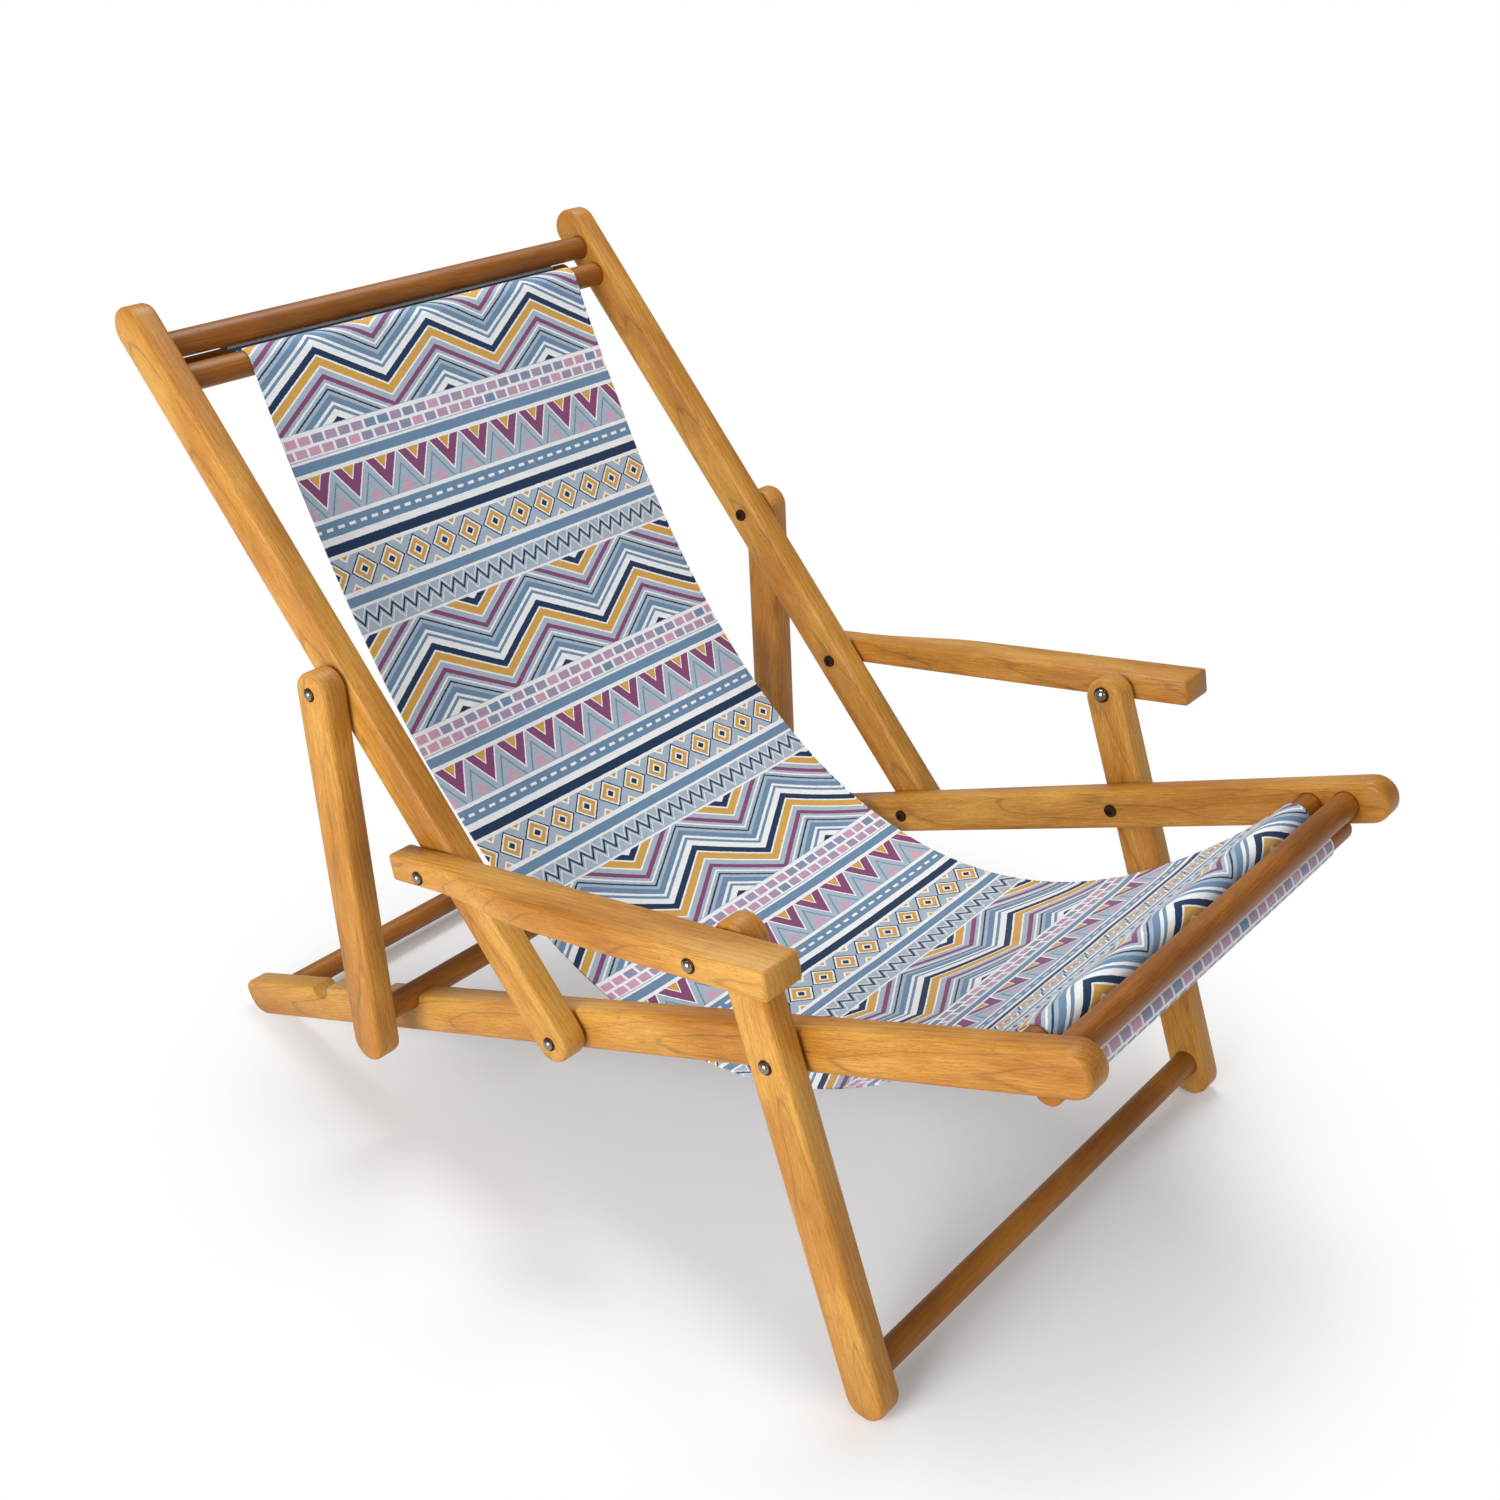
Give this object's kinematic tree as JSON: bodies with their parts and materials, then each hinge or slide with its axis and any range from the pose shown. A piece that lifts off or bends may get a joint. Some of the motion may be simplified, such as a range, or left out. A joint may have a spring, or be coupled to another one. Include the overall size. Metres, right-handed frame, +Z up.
{
  "type": "folding deck chair",
  "caption": "Folding wooden deck chair with arms, a hanging cloth sling, and a back that leans on a prop bar in notched seat rails.",
  "frame": {"origin": "on the floor, under the middle of the chair's box", "axes": "+Z up, the chair faces -Y, +X to the sitter's left"},
  "size_m": [0.6436, 0.97, 0.7356],
  "materials": {
    "frame_wood": "honey-coloured gloss varnish",
    "sling_cloth": "printed woven canvas",
    "bolt_steel": "polished",
    "dark_steel": "dark oxide"
  },
  "bodies": {
    "seat": {"seat_rail_right": "frame_wood", "seat_rail_left": "frame_wood", "seat_rear_bar": "frame_wood", "seat_front_bar": "frame_wood", "seat_sling_bar": "frame_wood", "front_hem_bar": "frame_wood", "sling": "sling_cloth", "back_hinge_right_bolt": "bolt_steel", "back_hinge_right_nut": "dark_steel", "back_hinge_right_washer": "dark_steel", "back_hinge_left_bolt": "bolt_steel", "back_hinge_left_nut": "dark_steel", "back_hinge_left_washer": "dark_steel", "leg_pivot_right_bolt": "bolt_steel", "leg_pivot_right_nut": "dark_steel", "leg_pivot_right_washer": "dark_steel", "leg_pivot_left_bolt": "bolt_steel", "leg_pivot_left_nut": "dark_steel", "leg_pivot_left_washer": "dark_steel"},
    "back": {"back_rail_right": "frame_wood", "back_rail_left": "frame_wood", "back_top_bar": "frame_wood", "back_sling_bar": "frame_wood", "rear_hem_bar": "frame_wood", "arm_pivot_right_bolt": "bolt_steel", "arm_pivot_right_nut": "dark_steel", "arm_pivot_right_washer": "dark_steel", "arm_pivot_left_bolt": "bolt_steel", "arm_pivot_left_nut": "dark_steel", "arm_pivot_left_washer": "dark_steel", "prop_pivot_right_bolt": "bolt_steel", "prop_pivot_right_nut": "dark_steel", "prop_pivot_right_washer": "dark_steel", "prop_pivot_left_bolt": "bolt_steel", "prop_pivot_left_nut": "dark_steel", "prop_pivot_left_washer": "dark_steel"},
    "front_legs": {"front_leg_right": "frame_wood", "front_leg_left": "frame_wood", "leg_cross_bar": "frame_wood"},
    "prop": {"prop_leg_right": "frame_wood", "prop_leg_left": "frame_wood", "prop_bar": "frame_wood"},
    "arm_right": {"arm_right": "frame_wood", "leg_top_right_bolt": "bolt_steel", "leg_top_right_nut": "bolt_steel", "leg_top_right_washer": "dark_steel"},
    "arm_left": {"arm_left": "frame_wood", "leg_top_left_bolt": "bolt_steel", "leg_top_left_nut": "bolt_steel", "leg_top_left_washer": "dark_steel"}
  },
  "joints": [
    {"name": "back_fold", "type": "hinge", "parent": "seat", "child": "back", "pos_m": [0, -0.0037, 0.19995], "axis": [-1, 0, 0], "range_deg": [0, 51], "deforming": ["sling"]},
    {"name": "leg_fold", "type": "hinge", "parent": "seat", "child": "front_legs", "pos_m": [0, -0.23567, 0.29075], "axis": [-1, 0, 0], "range_deg": [0, 70]},
    {"name": "prop_swing", "type": "hinge", "parent": "back", "child": "prop", "pos_m": [0, 0.23121, 0.45832], "axis": [1, 0, 0], "range_deg": [0, 131]},
    {"name": "arm_right_fold", "type": "hinge", "parent": "back", "child": "arm_right", "pos_m": [0, 0.11274, 0.32803], "axis": [1, 0, 0], "range_deg": [0, 43]},
    {"name": "arm_left_fold", "type": "hinge", "parent": "back", "child": "arm_left", "pos_m": [0, 0.11274, 0.32803], "axis": [1, 0, 0], "range_deg": [0, 43]}
  ],
  "couplings": [
    {"joint": "leg_fold", "follows": "back_fold", "ratio": 1.35},
    {"joint": "prop_swing", "follows": "back_fold", "ratio": 2.55},
    {"joint": "arm_right_fold", "follows": "back_fold", "ratio": 0.832},
    {"joint": "arm_left_fold", "follows": "back_fold", "ratio": 0.832}
  ]
}
